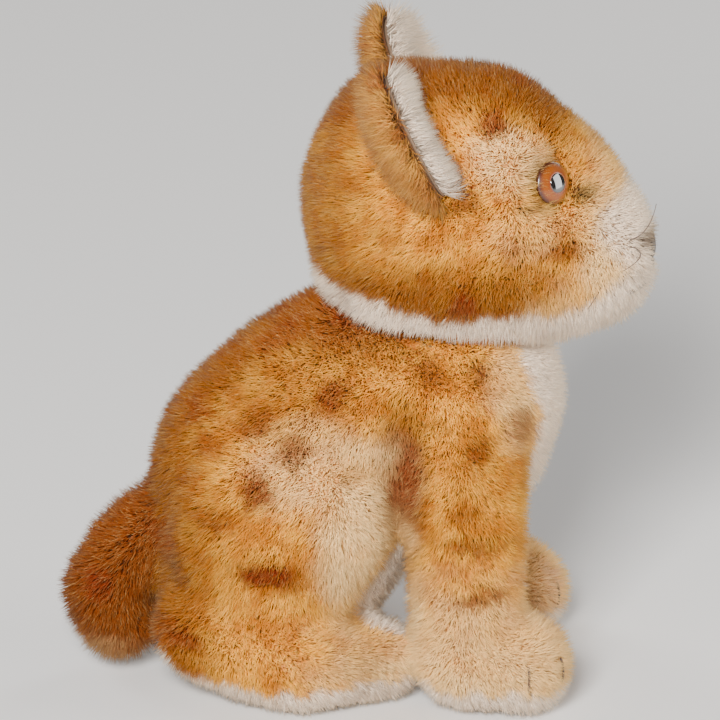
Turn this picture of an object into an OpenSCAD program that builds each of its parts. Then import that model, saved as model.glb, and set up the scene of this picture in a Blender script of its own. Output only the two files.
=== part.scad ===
// Seated plush cat in short-pile mohair, with a disc-jointed head that turns.
// +X is the way the cat faces, +Y its left side, +Z up. Its feet stand on z = 0.

/* [Cover] */
// Thickness of the cloth with its pile pressed to a solid
cover_t = 3; // [2.5:0.5:4]
// Half width of the white bib at the chest
bib_half_w = 13; // [8:1:16]
// Height of the white soles above the ground
sole_h = 5; // [3:0.5:7]
// Half width of the gusset that runs from the nose to the nape
forehead_half_w = 8; // [6:0.5:10]
// Height of the white band round the bottom of the head
chin_band_h = 3.5; // [2:0.5:5]

/* [Neck joint] */
// Lean of the neck joint's axis towards the nose
neck_tilt = 15; // [12:0.5:16]
// Gap between the head's cover and the body's cover
neck_gap = 0.6; // [0.6:0.1:1.2]
// Radius of the two hardboard discs
disc_r = 12; // [10:1:12]
// Thickness of each hardboard disc
disc_t = 2; // [1.5:0.5:3]
// Radius of the two steel washers
washer_r = 5; // [4.5:0.5:6]
// Thickness of each steel washer
washer_t = 0.8; // [0.6:0.1:1.2]
// Radius of the cotter pin's doubled wire
pin_r = 1.25; // [1.1:0.05:1.4]
// Radial clearance of the pin in its discs and washers
pin_clearance = 0.05; // [0.03:0.01:0.1]

/* [Eyes] */
// Diameter of the glass eyes
eye_d = 8.4; // [7:0.2:9]
// Diameter of the black pupil
pupil_d = 3.9; // [3:0.1:5]
// Turn of the eyes from straight ahead towards the sides
eye_turn = 46; // [40:1:52]

/* [Ears] */
// Radius of the ball that an ear's cup is cut from
ear_cup_r = 26; // [22:1:30]
// Radius of an ear's round outline
ear_r = 14; // [11:0.5:15]
// Thickness of the ear's back and of its lining
ear_layer_t = 2.2; // [1.8:0.1:2.6]

/* [Threads] */
// Thickness of the embroidery thread
thread_t = 0.8; // [0.6:0.1:1.2]
// Diameter of a whisker
whisker_d = 0.5; // [0.4:0.1:0.8]

/* [Hidden] */

outer_facets = 20;
inner_facets = 12;
ear_facets = 30;
fine = 48;
big = 200;
fill_gap = 0.1;

// A lump is [centre, radii]. Right-hand lumps have y < 0, and mirror() makes the left ones.
torso_lumps = [
    [[-18, 0, 27], [24.5, 23, 26.5]],
    [[-13, 0, 42], [29, 22.5, 30]],
    [[-2, 0, 54], [29, 21.5, 27]],
    [[17.5, 0, 60], [23.5, 20.5, 18]],
    [[20, 0, 50], [18, 19, 16]]
];
haunch_lumps = [
    [[-18, -14, 33], [19.5, 13.5, 26]],
    [[-8, -16, 39], [15.5, 12.5, 17]]
];
// The toes of the right hind foot reach further forward than those of the left.
right_toes_x = 4;
left_toes_x = -4;
function hind_foot_lumps(toes_x) = [
    [[-27.5, -14.5, 15.3], [14, 11, 13.3]],
    [[-12, -21, 9.6], [13, 10, 10.5]],
    [[toes_x, -14, 8], [8, 8, 9]]
];
foreleg_lumps = [
    [[19, -12, 58], [14, 10, 14]],
    [[21, -18, 40], [12, 10, 13]],
    [[21.5, -20, 13], [11.5, 10, 14]]
];
toe_at = [32, -21, 9.6];
toe_r = 10.5;
claw_turns = [-80, -27, 27];
claw_z = 6.5;
claw_l = 6.5;
forefoot_lumps = [
    [[23, -20.5, 10.5], [10.5, 10.5, 11.5]],
    [toe_at, [toe_r, toe_r, toe_r]]
];
tail_lumps = [
    [[-38, 0, 34], [8, 8, 8]],
    [[-46, 0, 26], [9, 9, 9]],
    [[-50.27, 0, 18], [9.5, 9.5, 9.5]],
    [[-48.5, 0, 12.5], [9, 9, 9]]
];
skull_lumps = [
    [[11, 0, 88], [19, 21, 14]],
    [[10.5, 0, 101], [22, 25.5, 28]],
    [[25, 0, 101], [19, 23.5, 27]],
    [[37, 0, 96.5], [16, 19, 22]],
    [[47.5, 0, 90.3], [11.5, 13.5, 15.5]]
];
cheek_lumps = [
    [[20, -11, 90], [18, 13, 13]],
    [[40, -7, 86], [13, 11, 11]]
];
muzzle_lumps = [
    [[40, -8, 93], [11, 10, 14]],
    [[50.5, -3.5, 91], [8, 8, 10.5]]
];

// The neck joint is built on its own axis, with the joint's plane at its z = 0.
neck_at = [15.5, 0, 77];
disc_z = neck_gap / 2 + cover_t;
washer_z = disc_z + disc_t;
stack_z = washer_z + washer_t;
pin_wire_r = 0.6;
pin_eye_r = 2.2;
pin_curl_r = 2;
pin_curl_z = stack_z + 1.3;
pin_room_r = pin_curl_r * 2 + pin_wire_r * 2 + 0.5;
thread_ring_r = 2.1;
thread_ring_t = 0.45;
thread_hole_r = thread_ring_r + thread_ring_t + 0.05;

// Eyes are built facing +Z, with their bases just under the surface of the pile, then turned.
eye_at = [37.7, -16.1, 109.5];
eye_lift = 16;
eye_rim_t = 0.7;
eye_dome_h = 1.5;
eye_wire_r = 0.4;
eye_loop_r = 1.4;
eye_wire_l = 9;

// Ears are built with the lining towards +X and the tip towards +Z, then turned.
ear_at = [7.4, -18.5, 118.3];
ear_lean = [51, -26, 4];

// A whisker is [root, bend, tip]. The first one stands up on the right and droops on the left.
whisker_up = [[53, -7, 95], [57, -15, 97], [58.5, -14, 104.5]];
whisker_down = [[53, -7, 95], [57, -15, 98], [51, -19, 98]];
other_whiskers = [
    [[53, -7, 93.5], [59, -15, 95], [52, -17, 91.5]],
    [[50, -7, 89], [49, -14, 88], [45, -18.5, 84]]
];
whisker_steps = 7;

ladder_count = 6;
ladder_w = 5;

leg_mid_y = 18;
bib_outline = [[60, 90], [33, 90], [30, 60], [20, 40], [0, 30], [-25, 12], [-60, 8], [-60, -5], [60, -5]];
leg_outline = [[50, -5], [50, 30], [26, 47], [8, 47], [0, 28], [-25, 14], [-60, 9], [-60, -5]];
chin_outline = [[16, 60], [18, 80], [40, 82], [54, 86.5], [80, 86.5], [80, 60]];
nose_z = 93.5;

module lump(l, inset) {
    translate(l[0])
        scale([l[1].x - inset, l[1].y - inset, l[1].z - inset])
            sphere(r = 1, $fn = inset > 0 ? inner_facets : outer_facets);
}

module chain(lumps, inset) {
    for (i = [0 : len(lumps) - 2])
        hull() {
            lump(lumps[i], inset);
            lump(lumps[i + 1], inset);
        }
}

module both_sides() {
    children();
    mirror([0, 1, 0]) children();
}

module on_side(side) {
    if (side == "left")
        mirror([0, 1, 0]) children();
    else
        children();
}

module at_neck() {
    translate(neck_at) rotate([0, neck_tilt, 0]) children();
}

module at_eye() {
    translate(eye_at) rotate([0, 90 - eye_lift, -eye_turn]) children();
}

module at_ear() {
    translate(ear_at) rotate(ear_lean) children();
}

// A side-view outline of [x, z] points, as thick as w across the cat.
module slab(outline, w) {
    rotate([90, 0, 0]) linear_extrude(w, center = true) polygon(outline);
}

// Everything above (1) or below (-1) the neck plane, moved off it by a distance.
module neck_half(way, off) {
    at_neck()
        translate([-big / 2, -big / 2, way > 0 ? off : -off - big])
            cube(big);
}

module above_ground(inset) {
    translate([-big / 2, -big / 2, inset]) cube(big);
}

module right_half() {
    translate([-big / 2, -big, -big / 4]) cube(big);
}

// The body without its tail, as a solid inside its pile by a distance.
module body_volume(inset) {
    intersection() {
        union() {
            chain(torso_lumps, inset);
            both_sides() {
                chain(haunch_lumps, inset);
                chain(foreleg_lumps, inset);
                chain(forefoot_lumps, inset);
            }
            chain(hind_foot_lumps(right_toes_x), inset);
            mirror([0, 1, 0]) chain(hind_foot_lumps(left_toes_x), inset);
        }
        neck_half(-1, neck_gap / 2 + inset);
        above_ground(inset);
    }
}

module head_volume(inset) {
    intersection() {
        union() {
            chain(skull_lumps, inset);
            both_sides() {
                chain(cheek_lumps, inset);
                chain(muzzle_lumps, inset);
            }
        }
        neck_half(1, neck_gap / 2 + inset);
    }
}

module pin_hole() {
    at_neck() cylinder(r = thread_hole_r, h = 3 * cover_t, center = true, $fn = fine);
}

// Room for a disc, behind the cover of the head (1) or the body (-1).
module disc_room(way) {
    at_neck()
        translate([0, 0, way * (disc_z + disc_t / 2)])
            cylinder(r = disc_r + fill_gap, h = disc_t + fill_gap, center = true, $fn = fine);
}

module body_cover() {
    difference() {
        body_volume(0);
        body_volume(cover_t);
        disc_room(-1);
        pin_hole();
    }
}

module head_cover() {
    difference() {
        head_volume(0);
        head_volume(cover_t);
        disc_room(1);
        pin_hole();
        both_sides() at_eye() eye_room();
    }
}

// White mohair: the bib, the belly, the inner sides of the legs and the soles.
module under_zone() {
    slab(bib_outline, 2 * bib_half_w);
    slab(leg_outline, 2 * leg_mid_y);
    translate([-big / 2, -big / 2, -1]) cube([big, big, sole_h + 1]);
}

// White mohair: the chin and a band round the bottom of the head.
module chin_zone() {
    slab(chin_outline, big);
    neck_half(-1, -chin_band_h);
}

module forehead_zone() {
    slab([[90, nose_z], [90, big], [-60, big], [-60, 50], [20, 50], [20, nose_z]], 2 * forehead_half_w);
}

module side_panel(side) {
    color("goldenrod") difference() {
        intersection() {
            body_cover();
            on_side(side) right_half();
        }
        under_zone();
    }
}

module under_gusset(side) {
    color("ivory") intersection() {
        body_cover();
        on_side(side) right_half();
        under_zone();
    }
}

module body_stuffing() {
    color("tan") difference() {
        body_volume(cover_t + fill_gap);
        disc_room(-1);
        at_neck()
            translate([0, 0, -pin_curl_z - pin_curl_r - pin_wire_r - 0.4])
                cylinder(r = pin_room_r, h = pin_curl_z, $fn = fine);
    }
}

module tail_cover() {
    color("goldenrod") difference() {
        chain(tail_lumps, 0);
        chain(tail_lumps, cover_t);
        body_volume(0);
    }
}

module tail_stuffing() {
    color("tan") difference() {
        chain(tail_lumps, cover_t + fill_gap);
        body_volume(0);
    }
}

// A skin of thread, thread_t thick, that lies on the body or the head.
module body_thread_skin() {
    difference() {
        body_volume(-thread_t);
        body_volume(0);
    }
}

module head_thread_skin() {
    difference() {
        head_volume(-thread_t);
        head_volume(0);
    }
}

// Three stitches down the toes of a forefoot, one of them on its outer side.
module claw_stitches(side) {
    color("saddlebrown") on_side(side) intersection() {
        body_thread_skin();
        for (turn = claw_turns)
            translate([toe_at.x, toe_at.y, claw_z])
                rotate([0, 0, turn])
                    translate([0, -thread_t / 2, 0])
                        cube([2 * toe_r, thread_t, claw_l]);
    }
}

// A ladder of hand stitches across the seam under the belly.
module closing_stitches() {
    color("goldenrod") intersection() {
        body_thread_skin();
        for (i = [0 : ladder_count - 1])
            translate([9 + 0.6 * i, 0, 14 + 2.4 * i])
                rotate([i % 2 == 0 ? 12 : -12, 0, 0])
                    cube([12, ladder_w, thread_t], center = true);
    }
}

module gathering_thread(way) {
    at_neck()
        translate([0, 0, way * (neck_gap / 2 + cover_t / 2)])
            rotate_extrude($fn = fine)
                translate([thread_ring_r, 0]) circle(r = thread_ring_t, $fn = fine / 2);
}

module body_gathering_thread() {
    color("ivory") gathering_thread(-1);
}

module head_gathering_thread() {
    color("ivory") gathering_thread(1);
}

// A ring on the neck's axis, h thick, with a running fit round the pin.
module neck_ring(r, z, h) {
    at_neck() translate([0, 0, z]) difference() {
        cylinder(r = r, h = h, $fn = fine);
        translate([0, 0, -1]) cylinder(r = pin_r + pin_clearance, h = h + 2, $fn = fine);
    }
}

module body_disc() {
    color("peru") neck_ring(disc_r, -washer_z, disc_t);
}

module body_washer() {
    color("silver") neck_ring(washer_r, -stack_z, washer_t);
}

module head_disc() {
    color("peru") neck_ring(disc_r, disc_z, disc_t);
}

module head_washer() {
    color("silver") neck_ring(washer_r, washer_z, washer_t);
}

// A steel pin with an eye over the head's washer and two curled ends under the body's.
module cotter_pin() {
    eye_z = stack_z + fill_gap + pin_eye_r + pin_wire_r;
    color("silver") at_neck() {
        translate([0, 0, -pin_curl_z])
            cylinder(r = pin_r, h = pin_curl_z + eye_z - pin_eye_r, $fn = fine);
        translate([0, 0, eye_z])
            rotate([90, 0, 0])
                rotate_extrude($fn = fine)
                    translate([pin_eye_r, 0]) circle(r = pin_wire_r, $fn = fine / 2);
        for (turn = [0, 180])
            rotate([0, 0, turn])
                translate([pin_wire_r + pin_curl_r, 0, -pin_curl_z])
                    rotate([90, 0, 0])
                        rotate([0, 0, 180])
                            rotate_extrude(angle = 180, $fn = fine)
                                translate([pin_curl_r, 0]) circle(r = pin_wire_r, $fn = fine / 2);
    }
}

module head_side(side) {
    color("goldenrod") on_side(side) difference() {
        intersection() {
            head_cover();
            right_half();
        }
        forehead_zone();
        chin_zone();
    }
}

module forehead_gusset() {
    color("darkgoldenrod") difference() {
        intersection() {
            head_cover();
            forehead_zone();
        }
        chin_zone();
    }
}

module chin_gusset() {
    color("ivory") intersection() {
        head_cover();
        chin_zone();
    }
}

module head_stuffing() {
    color("tan") difference() {
        head_volume(cover_t + fill_gap);
        disc_room(1);
        at_neck()
            cylinder(r = pin_room_r, h = stack_z + 2 * (pin_eye_r + pin_wire_r) + 1, $fn = fine);
        both_sides() at_eye()
            translate([0, 0, -eye_wire_l - 2 * eye_loop_r - 1])
                cylinder(r = eye_loop_r + eye_wire_r + fill_gap, h = eye_wire_l + 4, $fn = fine / 2);
    }
}

// One layer of the cupped ear, between two balls on one centre.
module ear_layer(side, ball_r) {
    on_side(side) difference() {
        at_ear() intersection() {
            translate([ear_cup_r, 0, 0]) difference() {
                sphere(r = ball_r + ear_layer_t, $fn = ear_facets);
                sphere(r = ball_r, $fn = ear_facets);
            }
            translate([-ear_layer_t - 1, 0, 0])
                rotate([0, 90, 0])
                    cylinder(r = ear_r, h = ear_cup_r, $fn = ear_facets);
        }
        head_volume(0);
    }
}

module ear_back(side) {
    color("sienna") ear_layer(side, ear_cup_r);
}

module ear_lining(side) {
    color("ivory") ear_layer(side, ear_cup_r - ear_layer_t);
}

// A lens: a short rim under a dome, standing on z = 0.
module eye_lens() {
    ball_r = (pow(eye_d / 2, 2) + pow(eye_dome_h, 2)) / (2 * eye_dome_h);
    intersection() {
        translate([0, 0, eye_rim_t + eye_dome_h - ball_r]) sphere(r = ball_r, $fn = fine);
        cylinder(r = eye_d / 2, h = eye_rim_t + eye_dome_h + 1, $fn = fine);
    }
}

// The dimple in the cover round a lens, and the hole for its wire.
module eye_room() {
    translate([0, 0, -fill_gap]) cylinder(r = eye_d / 2 + fill_gap, h = 8, $fn = fine / 2);
    translate([0, 0, -8]) cylinder(r = eye_loop_r + eye_wire_r + fill_gap, h = 8, $fn = fine / 2);
}

module eye_glass(side) {
    color("orangered") on_side(side) at_eye() difference() {
        eye_lens();
        translate([0, 0, eye_rim_t]) cylinder(r = pupil_d / 2, h = eye_dome_h + 1, $fn = fine);
    }
}

module eye_pupil(side) {
    color("black") on_side(side) at_eye() intersection() {
        eye_lens();
        translate([0, 0, eye_rim_t]) cylinder(r = pupil_d / 2, h = eye_dome_h + 1, $fn = fine);
    }
}

// The wire hangs from the back of the lens and ends in a loop inside the stuffing.
module eye_wire(side) {
    color("silver") on_side(side) at_eye() {
        translate([0, 0, -eye_wire_l]) cylinder(r = eye_wire_r, h = eye_wire_l, $fn = fine / 2);
        translate([0, 0, -eye_wire_l - eye_loop_r])
            rotate([90, 0, 0])
                rotate_extrude($fn = fine)
                    translate([eye_loop_r, 0]) circle(r = eye_wire_r, $fn = fine / 2);
    }
}

// Satin stitches side by side, in the outline of a broad nose.
module nose_stitches() {
    stitches = 9;
    pitch = 1.1;
    color("black") intersection() {
        head_thread_skin();
        for (i = [0 : stitches - 1])
            let (y = (i - (stitches - 1) / 2) * pitch, drop = 5.2 - abs(y) * 0.75)
                translate([40, y - pitch / 2 + 0.05, nose_z - drop])
                    cube([40, pitch - 0.1, drop]);
    }
}

// One stitch down from the nose and one along each lip.
module mouth_stitches() {
    lip_drop = 38;
    color("black") intersection() {
        head_thread_skin();
        translate([40, 0, nose_z - 5.3]) {
            translate([0, -thread_t / 2, -4]) cube([40, thread_t, 3.95]);
            both_sides()
                translate([0, -thread_t / 2, -4 - thread_t / 2])
                    rotate([-lip_drop, 0, 0])
                        translate([0, -6.5, -thread_t]) cube([40, 6.2, thread_t]);
        }
    }
}

function curve_at(p, t) = pow(1 - t, 2) * p[0] + 2 * t * (1 - t) * p[1] + t * t * p[2];

// Threads that stand out of the side of the muzzle, each bent along one curve.
module whiskers(side, first) {
    color("saddlebrown") on_side(side) difference() {
        for (w = concat([first], other_whiskers), i = [0 : whisker_steps - 1])
            hull()
                for (t = [i, i + 1])
                    translate(curve_at(w, t / whisker_steps))
                        sphere(r = whisker_d / 2, $fn = 8);
        head_volume(0);
    }
}

module side_panel_right() { side_panel("right"); }
module side_panel_left() { side_panel("left"); }
module under_gusset_right() { under_gusset("right"); }
module under_gusset_left() { under_gusset("left"); }
module claw_stitches_right() { claw_stitches("right"); }
module claw_stitches_left() { claw_stitches("left"); }
module head_side_right() { head_side("right"); }
module head_side_left() { head_side("left"); }
module ear_back_right() { ear_back("right"); }
module ear_back_left() { ear_back("left"); }
module ear_lining_right() { ear_lining("right"); }
module ear_lining_left() { ear_lining("left"); }
module eye_glass_right() { eye_glass("right"); }
module eye_glass_left() { eye_glass("left"); }
module eye_pupil_right() { eye_pupil("right"); }
module eye_pupil_left() { eye_pupil("left"); }
module eye_wire_right() { eye_wire("right"); }
module eye_wire_left() { eye_wire("left"); }
module whiskers_right() { whiskers("right", whisker_up); }
module whiskers_left() { whiskers("left", whisker_down); }

side_panel_right();
side_panel_left();
under_gusset_right();
under_gusset_left();
body_stuffing();
tail_cover();
tail_stuffing();
claw_stitches_right();
claw_stitches_left();
closing_stitches();
body_gathering_thread();
body_disc();
body_washer();
head_side_right();
head_side_left();
forehead_gusset();
chin_gusset();
head_stuffing();
ear_back_right();
ear_back_left();
ear_lining_right();
ear_lining_left();
eye_glass_right();
eye_glass_left();
eye_pupil_right();
eye_pupil_left();
eye_wire_right();
eye_wire_left();
nose_stitches();
mouth_stitches();
whiskers_right();
whiskers_left();
head_gathering_thread();
head_disc();
head_washer();
cotter_pin();
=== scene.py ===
import math
import bmesh
import bpy
import numpy as np
from mathutils import Matrix, Vector
from mathutils.bvhtree import BVHTree


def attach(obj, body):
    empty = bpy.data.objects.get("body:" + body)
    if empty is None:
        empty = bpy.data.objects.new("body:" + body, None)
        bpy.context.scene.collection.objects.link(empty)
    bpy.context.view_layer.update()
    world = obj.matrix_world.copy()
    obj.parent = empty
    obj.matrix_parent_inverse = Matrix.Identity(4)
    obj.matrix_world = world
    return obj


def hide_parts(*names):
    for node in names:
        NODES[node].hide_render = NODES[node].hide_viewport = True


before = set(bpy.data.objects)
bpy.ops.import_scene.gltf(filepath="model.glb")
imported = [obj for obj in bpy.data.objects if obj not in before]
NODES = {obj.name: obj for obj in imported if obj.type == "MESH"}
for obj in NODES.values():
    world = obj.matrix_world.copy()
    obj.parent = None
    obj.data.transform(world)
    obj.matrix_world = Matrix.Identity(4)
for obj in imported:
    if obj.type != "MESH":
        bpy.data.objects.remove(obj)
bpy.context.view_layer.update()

MM = 0.001

# ---------------------------------------------------------------- sizes, in millimetres
CLOTH_INSET = 2.3  # from the covers' pressed surface down to the woven cloth
CLOTH_T = 0.5
SKIN_VOXEL = 1.1
SKIN_ROUNDS = 10  # rounds of smoothing on the skins
GUIDE_ROUNDS = 12  # and on the surfaces that the threads are laid on
WOOL_VOXEL = 1.4
WOOL_ROUNDS = 4
WOOL_INSET = 0.8

PILE_PER_MM2 = 12.5
NEEDLES_PER_PIECE = 49000
NEEDLE_R = 0.145
NEEDLE_ROOT = 0.3  # how deep under the cloth's surface a fibre starts
PILE_L = 3.9
TIP_OUT = 2.9  # how far over the cloth the pile's colours are seen
GROUND_GAP = 0.08
ROOT_MIN_Z = 0.3  # no fibre starts lower

NECK_AT = np.array([15.5, 0.0, 77.0])
NECK_TILT = math.radians(15)
NECK_AXIS = np.array([math.sin(NECK_TILT), 0.0, math.cos(NECK_TILT)])
NECK_BARE_R = {"head": 19, "body": 14}  # the flats of the joint have no pile within this
NECK_PILE_GAP = 0.15  # from the pile to the joint's plane
NECK_REACH = 30  # the body's pile further out than this may pass the plane
FRINGE_L = 3.0  # how far the head's pile hangs past the plane
BAND_H = 3.6  # height of the white band round the bottom of the head

EYE_AT = np.array([37.7, -16.1, 109.5])
EYE_TURN = 46
EYE_LIFT = 16
EYE_R = 4.2
EYE_RIM_T = 0.7
EYE_DOME_H = 1.5
EYE_SEAT = 0.3  # how high over the eye's base the pupil starts
EYE_FUR_W = 4  # width of the ring of shaped pile round each eye
PUPIL_R = 1.95

EAR_AT = np.array([7.4, -18.5, 118.3])
EAR_LEAN = (51, -26, 4)
EAR_R = 14.0
EAR_CUP_R = 26.0
EAR_LAYER_T = 0.6
EAR_SUNK = 1.5  # how far an ear goes into the head
EAR_PILE_L = {"ear_back": 6.2, "ear_lining": 6.4}
EAR_WILD = {"ear_back": 0.34, "ear_lining": 0.24}

MUZZLE_X = 60  # a plane before the face, from which its stitches are laid back on it
NOSE_Z = 93.5
NOSE_STITCHES = 15
NOSE_PITCH = 0.68
MOUTH_Z = NOSE_Z - 5.0
TOE_AT = (32, -21)
TOE_R = 10.5
CLAW_TURNS = (-80, -27, 27)
CLAW_Z = (13.0, 6.5)
LADDER_STITCHES = 6
LADDER_Z = 14
LADDER_PITCH = 2.4

rng = np.random.default_rng(20)


# ---------------------------------------------------------------- camera, floor and light
def add_camera():
    distance, lens, elevation = 2.0, 500, 20
    target = Vector((0, 0, 66.6 * MM))
    data = bpy.data.cameras.new("camera")
    data.lens = lens
    data.sensor_width = 36
    data.clip_end = 20
    camera = bpy.data.objects.new("camera", data)
    bpy.context.scene.collection.objects.link(camera)
    e = math.radians(elevation)
    camera.location = target + distance * Vector((0, -math.cos(e), math.sin(e)))
    camera.rotation_euler = (math.radians(90) - e, 0, 0)
    bpy.context.scene.camera = camera


def add_area_light(name, place, size, watts, colour):
    """A soft light that is aimed at the middle of the cat. Metres."""
    data = bpy.data.lights.new(name, "AREA")
    data.shape = "RECTANGLE"
    data.size, data.size_y = size
    data.energy = watts
    data.color = colour
    light = bpy.data.objects.new(name, data)
    bpy.context.scene.collection.objects.link(light)
    light.location = place
    aim = Vector((0, 0, 0.065)) - Vector(place)
    light.rotation_euler = aim.to_track_quat("-Z", "Y").to_euler()


def add_stage():
    half = 4.0
    mesh = bpy.data.meshes.new("floor")
    corners = [(-half, -half, 0), (half, -half, 0), (half, half, 0), (-half, half, 0)]
    mesh.from_pydata(corners, [], [(0, 1, 2, 3)])
    floor = bpy.data.objects.new("floor", mesh)
    bpy.context.scene.collection.objects.link(floor)
    m = Shader("floor")
    m.set(Roughness=0.7, Base_Color=(0.88, 0.875, 0.87, 1))
    floor.data.materials.append(m.material)

    world = bpy.data.worlds.new("studio")
    world.use_nodes = True
    background = world.node_tree.nodes["Background"]
    background.inputs["Color"].default_value = (1.0, 0.98, 0.96, 1)
    background.inputs["Strength"].default_value = 0.12
    bpy.context.scene.world = world

    add_area_light("key", (-0.22, -1.20, 0.72), (0.4, 0.4), 42, (1.0, 0.98, 0.95))
    add_area_light("front", (0.833, -0.087, 0.165), (0.42, 0.70), 5, (1.0, 0.99, 0.97))
    add_area_light("back_left", (-0.75, 0.55, 0.60), (0.4, 0.4), 3.0, (1.0, 0.98, 0.96))
    add_area_light("back_right", (0.55, 0.80, 0.60), (0.4, 0.4), 3.0, (1.0, 0.98, 0.96))


# ---------------------------------------------------------------- materials
class Shader:
    """A Principled material and short ways to add nodes to it."""

    def __init__(self, name):
        self.material = bpy.data.materials.new(name)
        self.material.use_nodes = True
        self.tree = self.material.node_tree
        self.main = self.tree.nodes["Principled BSDF"]

    def set(self, **values):
        """Sets sockets by name, with _ for each space."""
        for socket, value in values.items():
            self.main.inputs[socket.replace("_", " ")].default_value = value

    def node(self, kind, **links):
        made = self.tree.nodes.new(kind)
        for socket, value in links.items():
            self.feed(made, socket.replace("_", " "), value)
        return made

    def feed(self, node, socket, value):
        """Links or sets a socket, which is given by name or as # and its number."""
        target = node.inputs[int(socket[1:])] if socket[0] == "#" else node.inputs[socket]
        if isinstance(value, bpy.types.NodeSocket):
            self.tree.links.new(value, target)
        else:
            target.default_value = value

    def math(self, operation, a, b=0.0):
        made = self.node("ShaderNodeMath")
        made.operation = operation
        self.feed(made, "#0", a)
        self.feed(made, "#1", b)
        return made.outputs[0]

    def mix(self, factor, a, b, blend="MIX"):
        made = self.tree.nodes.new("ShaderNodeMix")
        made.data_type = "RGBA"
        made.blend_type = blend
        self.feed(made, "#0", factor)
        self.feed(made, "#6", a)
        self.feed(made, "#7", b)
        return made.outputs[2]

    def ramp(self, value, low, high):
        made = self.node("ShaderNodeMapRange", Value=value)
        made.interpolation_type = "SMOOTHSTEP"
        made.inputs["From Min"].default_value = low
        made.inputs["From Max"].default_value = high
        return made.outputs["Result"]

    def place(self):
        return self.node("ShaderNodeTexCoord").outputs["Object"]

    def noise(self, scale, detail=3.0):
        made = self.node("ShaderNodeTexNoise", Vector=self.place(), Scale=scale)
        made.inputs["Detail"].default_value = detail
        made.inputs["Roughness"].default_value = 0.55
        return made.outputs["Fac"]

    def split(self, name):
        """The four channels of a colour that is painted on the mesh."""
        source = self.tree.nodes.new("ShaderNodeAttribute")
        source.attribute_name = name
        parts = self.node("ShaderNodeSeparateColor", Color=source.outputs["Color"])
        return [*parts.outputs[:3], source.outputs["Alpha"]]

    def bump(self, height, strength, distance):
        made = self.node("ShaderNodeBump", Height=height)
        made.inputs["Strength"].default_value = strength
        made.inputs["Distance"].default_value = distance
        self.tree.links.new(made.outputs["Normal"], self.main.inputs["Normal"])

    def colour(self, socket):
        self.tree.links.new(socket, self.main.inputs["Base Color"])


# Colours of the coat, some of them standing in for painted shade and painted light
GOLD = (0.62, 0.205, 0.007, 1)
STRAW = (0.94, 0.45, 0.04, 1)
# A deep reddish tone: partly the coat's own, partly painted shade on the back, crown, rump, nape and
# tail.
DEEP_ORANGE_AND_SHADE = (0.205, 0.036, 0.001, 1)
CREAM = (0.98, 0.66, 0.29, 1)
WHITE = (1.0, 0.82, 0.65, 1)
BROWN = (0.20, 0.017, 0.001, 1)
# Near black: painted shade round the eyes, at the mouth's corners and at the ears' rims, and a dark
# patch by the nose.
DARK_AND_SHADE = (0.05, 0.020, 0.009, 1)
# Paler fibre tips: partly painted light through the tips, partly pale fibres.
TIP = (1.0, 0.68, 0.25, 1)


def pattern_colour(m):
    """Mohair colour from the painted masks: spots, cream, white, a deep reddish tone that is partly
    painted shade, and near black for painted shade and dark marks.
    """
    spot, cream, white, along = m.split("coat")
    orange_and_shade, shade_and_dark_marks, chance, _ = m.split("paint")
    colour = m.mix(m.ramp(m.noise(170), 0.35, 0.65), GOLD, STRAW)
    # The deep reddish tone, partly painted shade.
    colour = m.mix(orange_and_shade, colour, DEEP_ORANGE_AND_SHADE)
    colour = m.mix(cream, colour, CREAM)
    colour = m.mix(white, colour, WHITE)
    patchy = m.math("MULTIPLY", spot, m.ramp(m.noise(420), 0.05, 0.50))
    colour = m.mix(patchy, colour, BROWN)
    # Near black for painted shade and dark marks.
    colour = m.mix(shade_and_dark_marks, colour, DARK_AND_SHADE)
    return colour, along, chance


def pile_material():
    m = Shader("mohair_pile")
    colour, along, chance = pattern_colour(m)
    # Each fibre's own random tone.
    shade = m.math("ADD", m.math("MULTIPLY", chance, 0.34), 0.80)
    # Painted shade: each fibre darkens towards its root, where the pile shades it.
    depth = m.math("ADD", m.math("MULTIPLY", m.ramp(along, 0.0, 0.6), 0.18), 0.82)
    light = m.math("MULTIPLY", shade, depth)
    grey = m.node("ShaderNodeCombineColor", Red=light, Green=light, Blue=light).outputs[0]
    colour = m.mix(1.0, colour, grey, "MULTIPLY")
    # Paler tips: a little painted light on every fibre's tip, and more on a random quarter of the
    # fibres, which are pale.
    tip_light_and_pale_fibres = m.math("ADD", m.math("MULTIPLY", m.ramp(chance, 0.75, 1.0), 0.5), 0.10)
    tip = m.math("MULTIPLY", m.ramp(along, 0.55, 1.0), tip_light_and_pale_fibres)
    m.colour(m.mix(tip, colour, TIP))
    m.set(Roughness=0.38, Specular_IOR_Level=0.24, Specular_Tint=(1.0, 0.68, 0.30, 1),
          Sheen_Weight=0.04, Sheen_Roughness=0.4, Sheen_Tint=(1.0, 0.85, 0.65, 1))
    return m.material


def cloth_material():
    m = Shader("mohair_cloth")
    colour, _, _ = pattern_colour(m)
    weave = m.noise(2600, 1.0)
    # The weave's grain, with painted shade: the cloth under the pile is darkened all over.
    weave_and_shade = m.mix(m.ramp(weave, 0.3, 0.7), (0.76, 0.64, 0.50, 1), (1.0, 0.88, 0.74, 1))
    m.colour(m.mix(1.0, colour, weave_and_shade, "MULTIPLY"))
    m.set(Roughness=0.9)
    m.bump(weave, 0.5, 0.0002)
    return m.material


def thread_material(name, dark, pale):
    m = Shader(name)
    fibre = m.noise(1800, 2.0)
    m.colour(m.mix(m.ramp(fibre, 0.3, 0.7), dark, pale))
    m.set(Roughness=0.5, Sheen_Weight=0.3)
    m.bump(fibre, 0.4, 0.0001)
    return m.material


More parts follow.
